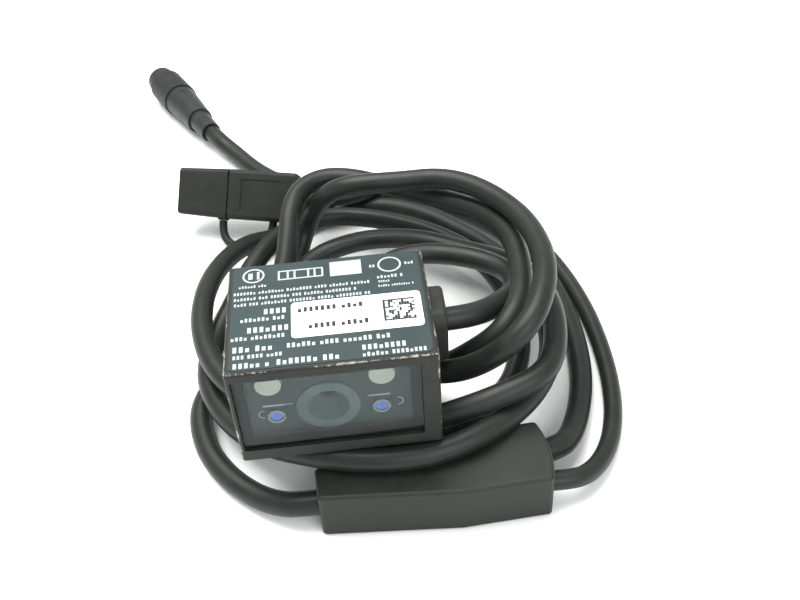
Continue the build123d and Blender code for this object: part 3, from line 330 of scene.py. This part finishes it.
def add_cord(name, route, radius):
    """A cable, which rides on the scanner body."""
    made = round_curve(name, route, radius, CORD_STEPS, CORD_ROUNDNESS)
    made.data.materials.append(MATERIALS["cable_jacket"])
    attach(made, "scanner")
    return made


# ---------------------------------------------------------------- cables
TRUNK_RADIUS = 3.0
USB_RADIUS = 2.4

# junction box frame: its middle in plan, its turn about Z, the height of its cables
BOX_CENTRE = Vector((20.5, -38.3, -27.0))
BOX_ALONG = Vector((math.cos(math.radians(3.2)), math.sin(math.radians(3.2)), 0.0))
BOX_ACROSS = Vector((-BOX_ALONG.y, BOX_ALONG.x, 0.0))
BOX_HALF_LENGTH = 27.75
BOX_HALF_WIDTH = 8.9
BOX_BULGE = 1.4
ENTRY_OFFSET = 4.4
BULGE_RADIUS = (BOX_HALF_WIDTH**2 + BOX_BULGE**2) / (2 * BOX_BULGE)


def left_entry(distance):
    """Point on the trunk's line through the box's narrow end."""
    return BOX_CENTRE - BOX_ALONG * (BOX_HALF_LENGTH + distance)


def right_entry(side, distance):
    """Point on a cable's line through the box's bowed end; side is 1 at the rear and -1 at the front."""
    lean = math.asin(side * ENTRY_OFFSET / BULGE_RADIUS)
    mouth = (BOX_CENTRE + BOX_ALONG * (BOX_HALF_LENGTH - BULGE_RADIUS * (1 - math.cos(lean)))
             + BOX_ACROSS * side * ENTRY_OFFSET)
    return mouth + (BOX_ALONG * math.cos(lean) + BOX_ACROSS * math.sin(lean)) * distance


PLUG_SEAM = Vector((-32.0, 83.5, -21.0))
PLUG_AXIS = Vector((-0.9786, 0.1968, 0.0609)).normalized()
PLUG_WIDE = Vector((0.1701, 0.6051, 0.7777))
PLUG_WIDE = (PLUG_WIDE - PLUG_AXIS * PLUG_WIDE.dot(PLUG_AXIS)).normalized()
# the cable's last two points on the plug's axis, measured back from its seam
PLUG_LEAD = 30.9
PLUG_SEAT = 23.3
CONNECTOR_REAR = Vector((-42.0, 135.2, -27.4))
CONNECTOR_AXIS = Vector((-0.446, 0.895, 0.0)).normalized()
# the cable's points on the connector's axis: behind its rear end and in its seat
CONNECTOR_LEAD = 5.0
CONNECTOR_SEAT = 16.1

HEAD_EXIT = [
    (21.2, -6.8, -3.5), (31.0, -6.8, -3.5), (38.5, -3.5, -5.0), (44.5, 4.0, -8.4),
]
# first turn: back behind the head, under it, and out to the right on the surface
INNER_TURN = [
    (49, 11, -11), (48.5, 20, -12.5), (42, 27.5, -13.5), (33, 31.5, -13.5), (25, 33, -13.5), (16, 31.5, -14),
    (7, 23, -15), (-1, 10.5, -17), (-6, -2, -18.8), (-5.5, -12, -22.5), (1, -19, -26), (12, -21.5, -28.5),
    (24, -20, -30), (36, -14, -31), (45, -5, -31), (50, 7, -30), (51, 20, -28),
]
# second turn: behind, left, under the head's front corner and over the junction box
LOW_TURN = [
    (48.5, 32, -26), (43, 43, -24), (34, 53, -23.5), (23, 62, -24), (10, 69.5, -25), (-3, 70.2, -24),
    (-14, 62.5, -22.5), (-20, 53, -21.5), (-24.5, 44, -22), (-28.5, 33, -23.5), (-33, 22, -25),
    (-35.5, 11, -25.2), (-35, 1, -25.2), (-31.5, -8.5, -25.2), (-25.5, -18, -24.3), (-17.5, -26.5, -21),
    (-8.5, -33, -17.5), (1, -36.5, -17), (13, -38, -17), (23, -37, -17), (34, -32.5, -17),
    (43, -25, -18.8), (50, -16.5, -20), (55.5, -5, -21), (57.5, 10, -22), (56, 26, -23),
]
# third turn: the widest one, then under the head's front edge
WIDE_TURN = [
    (50, 43, -24.5), (41, 57, -25.5), (30, 70.5, -26.5), (18, 79, -28), (8, 81, -29.5), (-1, 79.5, -30.5),
    (-7.5, 76.5, -31), (-14, 71.2, -31), (-20.5, 68, -29.3), (-27.5, 61, -25.5), (-33.8, 47, -21.6),
    (-37, 32, -19.5), (-37, 17, -19), (-33.5, 3, -19), (-26.5, -8.5, -18.8), (-16.5, -17, -18),
    (-4, -22.5, -17.2), (9, -25.5, -17.2), (21, -27, -17), (32, -26.7, -13.9), (41, -25.2, -11.8),
    (48, -22.5, -11), (53, -16.5, -11), (56, -5, -10.8), (56.5, 6, -11.5), (55, 17, -13),
]
# fourth turn: close behind the head and down under it
CLOSE_TURN = [
    (51.5, 27, -16), (45, 34.5, -18), (37, 40.5, -19), (28.5, 46, -19), (19, 49.5, -19.5), (8, 51, -20.5),
    (-3, 48, -21.5), (-9.5, 41, -22), (-9.5, 30, -22.5), (-5, 19, -23), (3, 8, -23), (13, -2, -21.5),
    (23, -10.5, -17.8),
]
# fifth turn: springs up at the right, the highest of all, and dives behind the head
HIGH_TURN = [
    (30, -14.5, -14), (36, -17, -9), (41, -18, -4), (46, -16, 0), (50, -11, 2), (54, 0, 3), (55, 14, 2),
    (52, 29, 1), (44, 43, 0.3), (34, 51, -0.5), (22, 52, -1.3), (11, 53, -1.5), (3, 55, -3.5), (-3, 59, -11),
    (-7.5, 59.5, -20), (-11, 52, -26), (-11.5, 41, -29.5), (-8.5, 30, -31), (-3.5, 19, -31), (4, 9.5, -31),
    (14, 2, -29), (22.5, -3, -24.5), (29, -6.5, -19),
]
# sixth turn: inside the fifth, arching over the plug's lead and down on the left
ARCH_TURN = [
    (34, -8.8, -13.6), (40, -10, -8), (44, -7, -5), (48, 0, -4), (50, 12, -4), (50, 24, -4), (46, 38, -5.5),
    (37, 48, -7.5), (27, 56, -8.5), (17, 62, -8.5), (7.5, 66.5, -7.7), (-1, 67.5, -7.5), (-8, 63, -8),
    (-11, 55, -9.5), (-12.2, 47, -14), (-14, 39, -19), (-18, 31, -24), (-23.5, 23, -28),
]
# from the last turn along the surface into the junction box's narrow end
BOX_LEAD = [
    (-30, 15, -31), (-35.5, 6, -31), (-38.3, -4, -31), (-35.5, -16.5, -31), (-30, -25.8, -31),
    (-23.5, -32.6, -30.5), (-17.5, -37.2, -29.2), left_entry(4.5), left_entry(-5.0),
]
TRUNK_ROUTE = HEAD_EXIT + INNER_TURN + LOW_TURN + WIDE_TURN + CLOSE_TURN + HIGH_TURN + ARCH_TURN + BOX_LEAD
# on the surface round the coil's outside and back to the round connector
POWER_ROUTE = [
    right_entry(1, -5.0), right_entry(1, 4.0), (56.2, -26.0, -29.4), (60.6, -16.5, -30.7),
    (63.9, -5.5, -31.0), (65.6, 7.0, -31.0), (65.8, 20.5, -31.0), (64.3, 34.5, -31.0), (60.8, 48.5, -31.0),
    (54.5, 61.0, -31.0), (46.0, 72.0, -31.0), (35.0, 80.5, -31.0), (22.0, 86.4, -31.0), (8.0, 90.4, -31.0),
    (-5.5, 95.2, -31.0), (-16.8, 102.0, -31.0), (-26.0, 112.5, -30.8), (-33.5, 123.5, -29.6),
    CONNECTOR_REAR - CONNECTOR_AXIS * CONNECTOR_LEAD, CONNECTOR_REAR + CONNECTOR_AXIS * CONNECTOR_SEAT,
]
# outside the power lead, then up over it to the plug
USB_ROUTE = [
    right_entry(-1, -5.0), right_entry(-1, 4.0), (58.6, -38.0, -29.4), (64.8, -30.0, -31.2),
    (69.0, -19.5, -31.6), (71.4, -7.0, -31.6), (72.3, 7.0, -31.6), (71.9, 21.5, -31.6), (69.8, 36.0, -31.6),
    (66.0, 50.5, -31.6), (60.0, 64.0, -31.4), (51.5, 75.0, -29.4), (40.5, 83.0, -26.4), (29.0, 85.5, -24.9),
    (18.0, 83.5, -24.0), (9.4, 78.9, -23.4), PLUG_SEAM - PLUG_AXIS * PLUG_LEAD,
    PLUG_SEAM - PLUG_AXIS * PLUG_SEAT,
]

trunk_cable = add_cord("trunk_cable", TRUNK_ROUTE, TRUNK_RADIUS)
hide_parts("cord_coil", "head_cable_run", "trunk_run")
power_cable = add_cord("power_cable", POWER_ROUTE, TRUNK_RADIUS)
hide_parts("power_run")
usb_cable = add_cord("usb_cable", USB_ROUTE, USB_RADIUS)
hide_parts("usb_run")

# ---------------------------------------------------------------- dust cap's strap
TETHER_RADIUS = 1.3
# where the strap's ends stand along the plug, ahead of its seam and behind it
TETHER_AT = 1.5
TETHER_BACK = 15.0
# the plug's narrow side and the face of the cap's lug, across the plug from its axis
PLUG_SIDE = -8.0
LUG_FACE = -8.8
STRAP_SINK = 0.2


def plug_point(across, forwards):
    """Point in the middle plane of the plug's thickness, in millimetres."""
    return PLUG_SEAM + PLUG_WIDE * across + PLUG_AXIS * forwards


TETHER_ROUTE = [
    plug_point(LUG_FACE + STRAP_SINK, TETHER_AT), plug_point(LUG_FACE - 2.3, TETHER_AT),
    (-34.9, 74.4, -32.0), (-32.2, 70.9, -32.6), (-28.0, 69.3, -32.6), (-22.4, 70.2, -32.4),
    plug_point(-11.2, -TETHER_BACK), plug_point(PLUG_SIDE + STRAP_SINK / 2, -TETHER_BACK),
]
strap_path = round_curve("cap_strap_path", TETHER_ROUTE, TETHER_RADIUS, STRAP_STEPS, STRAP_ROUNDNESS)
bpy.context.view_layer.update()
evaluated = strap_path.evaluated_get(bpy.context.evaluated_depsgraph_get())
strap_mesh = bpy.data.meshes.new_from_object(evaluated)
bpy.data.objects.remove(strap_path)
strap_mesh.name = "cap_strap"
strap_mesh.materials.clear()
strap_mesh.materials.append(MATERIALS["black_rubber"])
strap_mesh.polygons.foreach_set("use_smooth", [True] * len(strap_mesh.polygons))
cap_strap = bpy.data.objects.new("cap_strap", strap_mesh)
scene.collection.objects.link(cap_strap)
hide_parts("cap_tether")
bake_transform(cap_strap)


# ---------------------------------------------------------------- print on the label and the sticker
LABEL_TOP = 14.14
STICKER_TOP = 14.24
INK = 0.02
RING_BARS = 28
RING_STROKE = 0.45
# each line: left end, right end, middle in Y, height
LABEL_LINES = [
    (-20.3, -13.8, -8.2, 1.0), (-21.4, 10.2, -10.5, 1.1), (-21.3, 7.1, -12.5, 1.1),
    (-21.2, 10.3, -14.4, 1.1), (-14.4, -9.0, -17.4, 2.0), (-19.6, -9.0, -19.8, 1.4),
    (-18.0, -9.0, -23.2, 2.0), (-21.5, -9.6, -25.7, 1.4), (-21.0, -12.5, -29.1, 2.0),
    (-9.3, 13.7, -29.2, 1.6), (-20.9, -10.1, -31.5, 1.3), (-20.8, -12.5, -34.1, 1.8),
    (-11.5, 2.9, -34.0, 1.9), (6.8, 17.3, -32.2, 1.8), (6.8, 21.2, -34.4, 1.4), (11.7, 18.0, -9.2, 1.2),
    (11.9, 14.6, -10.9, 0.8), (11.8, 20.4, -12.5, 0.8), (10.2, 11.5, -5.0, 1.1), (18.5, 20.6, -5.0, 1.1),
]
STICKER_LINES = [(-6.8, 8.7, -18.1, 1.9), (-4.5, 9.6, -23.8, 1.9)]
draw = random.Random(11)


def slab(vertices, faces, left, right, near, far, bottom):
    """One flat block of ink added to a mesh's lists, in millimetres."""
    outline = ((left, near), (right, near), (right, far), (left, far))
    add_block(vertices, faces, [point(x, y, z) for z in (bottom, bottom + INK) for x, y in outline])


# blocks that stand in for letters, as shares of a line's height
BLOCK_WIDTH = 0.42
BLOCK_GAP = 0.26
BLOCK_HEIGHTS = (0.88, 0.88, 0.62)
WORD_LENGTHS = (3, 8)
LINE_SLACK = 0.01


def printed_lines(vertices, faces, lines, level):
    """Rows of plain blocks grouped like words."""
    for left, right, middle, height in lines:
        width = BLOCK_WIDTH * height
        gap = BLOCK_GAP * height
        low = middle - height / 2
        x = left
        until_space = draw.randint(*WORD_LENGTHS)
        while x + width <= right + LINE_SLACK:
            tall = height * draw.choice(BLOCK_HEIGHTS)
            slab(vertices, faces, x, x + width, low, low + tall, level)
            x += width + gap
            until_space -= 1
            if until_space == 0:
                x += width
                until_space = draw.randint(*WORD_LENGTHS)


def ring_of_ink(vertices, faces, x, y, radius, level):
    """A circle made of short flat bars."""
    inner = radius - RING_STROKE
    for step in range(RING_BARS):
        start, end = [2 * math.pi * (step + part) / RING_BARS for part in (0.0, 1.0)]
        outline = ((radius, start), (radius, end), (inner, end), (inner, start))
        add_block(vertices, faces, [point(x + reach * math.cos(turn), y + reach * math.sin(turn), z)
                                    for z in (level, level + INK) for reach, turn in outline])


vertices, faces = [], []
printed_lines(vertices, faces, LABEL_LINES, LABEL_TOP)
# four plain marks in the top row: two rings, a barred frame and a solid block
ring_of_ink(vertices, faces, -17.0, -4.4, 2.6, LABEL_TOP)
ring_of_ink(vertices, faces, 14.9, -5.0, 2.8, LABEL_TOP)
slab(vertices, faces, -16.2, -15.6, -5.8, -3.0, LABEL_TOP)
slab(vertices, faces, -18.2, -17.2, -5.6, -3.4, LABEL_TOP)
for rail in (-6.9, -3.9):
    slab(vertices, faces, -11.3, -0.7, rail, rail + 0.4, LABEL_TOP)
for post in (-11.3, -9.2, -7.6, -4.4, -2.9, -1.1):
    slab(vertices, faces, post, post + 0.45, -6.5, -3.9, LABEL_TOP)
slab(vertices, faces, 0.9, 8.3, -7.3, -2.1, LABEL_TOP)
add_print("label_print", vertices, faces, "print_grey")

# a square of random cells at the sticker's right end, which encodes nothing
CELL = 0.6
CELL_GAP = 0.02
CELLS = 12
CELL_SHARE = 0.48
PATTERN_LEFT = 12.2
PATTERN_NEAR = -24.8

vertices, faces = [], []
printed_lines(vertices, faces, STICKER_LINES, STICKER_TOP)
for row in range(CELLS):
    for column in range(CELLS):
        edge = row in (0, CELLS - 1) or column == 0
        if edge or draw.random() < CELL_SHARE:
            left = PATTERN_LEFT + column * CELL
            near = PATTERN_NEAR + row * CELL
            slab(vertices, faces, left, left + CELL - CELL_GAP, near, near + CELL - CELL_GAP, STICKER_TOP)
add_print("sticker_print", vertices, faces, "chip_black")

# ---------------------------------------------------------------- print on the optics panel
PANEL_FRONT = -33.22
AIM_SPOTS = ((-13.3, -3.0), (10.3, -3.0))


def upright_slab(vertices, faces, left, right, bottom, top):
    """One flat bar on the panel's front, in millimetres."""
    outline = ((left, bottom), (right, bottom), (right, top), (left, top))
    add_block(vertices, faces, [point(x, y, z) for y in (PANEL_FRONT, PANEL_FRONT - INK)
                                for x, z in outline])


# each arc stands beside its aiming light, on the outer side
ARC_BARS = 16
ARC_RADIUS = 1.15
ARC_OUT = 3.2
ARC_UP = 0.6
ARC_HALF_STROKE = 0.14

vertices, faces = [], []
for side, (spot_x, spot_z) in zip((-1, 1), AIM_SPOTS):
    inner = spot_x - side * 2.6
    upright_slab(vertices, faces, spot_x - 3.2, spot_x + 1.6, spot_z + 2.9, spot_z + 3.4)
    upright_slab(vertices, faces, inner - 0.9, inner + 0.9, spot_z + 3.1, spot_z + 3.3)
    for step in range(ARC_BARS):
        turn = math.pi / 2 - side * math.pi * (step + 0.5) / ARC_BARS
        x = spot_x + side * ARC_OUT + ARC_RADIUS * math.cos(turn)
        z = spot_z + ARC_UP + ARC_RADIUS * math.sin(turn)
        upright_slab(vertices, faces, x - ARC_HALF_STROKE, x + ARC_HALF_STROKE,
                     z - ARC_HALF_STROKE, z + ARC_HALF_STROKE)
add_print("panel_print", vertices, faces, "print_grey")

# ---------------------------------------------------------------- stage and light
FLOOR_Z = -34.0 * MM
FLOOR_REACH = 3.0
corners = [(x * FLOOR_REACH, y * FLOOR_REACH, FLOOR_Z) for x, y in ((-1, -1), (1, -1), (1, 1), (-1, 1))]
floor_mesh = bpy.data.meshes.new("floor")
floor_mesh.from_pydata(corners, [], [(0, 1, 2, 3)])
floor = bpy.data.objects.new("floor", floor_mesh)
scene.collection.objects.link(floor)
floor_mesh.materials.append(surface("floor_paper", (0.88, 0.885, 0.88), 0.6, mottle=0.008, mottle_scale=8.0,
                                    bump=0.02, specular=0.2))

WORLD_COLOUR = (0.97, 1.0, 0.98, 1.0)
WORLD_STRENGTH = 0.80
world = bpy.data.worlds.new("studio")
world.use_nodes = True
world.node_tree.nodes["Background"].inputs["Color"].default_value = WORLD_COLOUR
world.node_tree.nodes["Background"].inputs["Strength"].default_value = WORLD_STRENGTH
scene.world = world


def area_light(name, place, target, size, power, colour):
    """A square soft light that shines from place towards target, both in millimetres."""
    data = bpy.data.lights.new(name, "AREA")
    data.size = size
    data.energy = power
    data.color = colour
    light = bpy.data.objects.new(name, data)
    scene.collection.objects.link(light)
    light.location = point(*place)
    aim = (point(*target) - light.location).normalized()
    light.rotation_mode = "QUATERNION"
    light.rotation_quaternion = aim.to_track_quat("-Z", "Y")


area_light("top_softbox", (-120, 160, 620), (0, 20, -20), 0.55, 9.0, (1.0, 1.0, 0.99))
area_light("front_fill", (260, -520, 380), (0, 0, -10), 0.5, 3.0, (0.97, 0.99, 1.0))
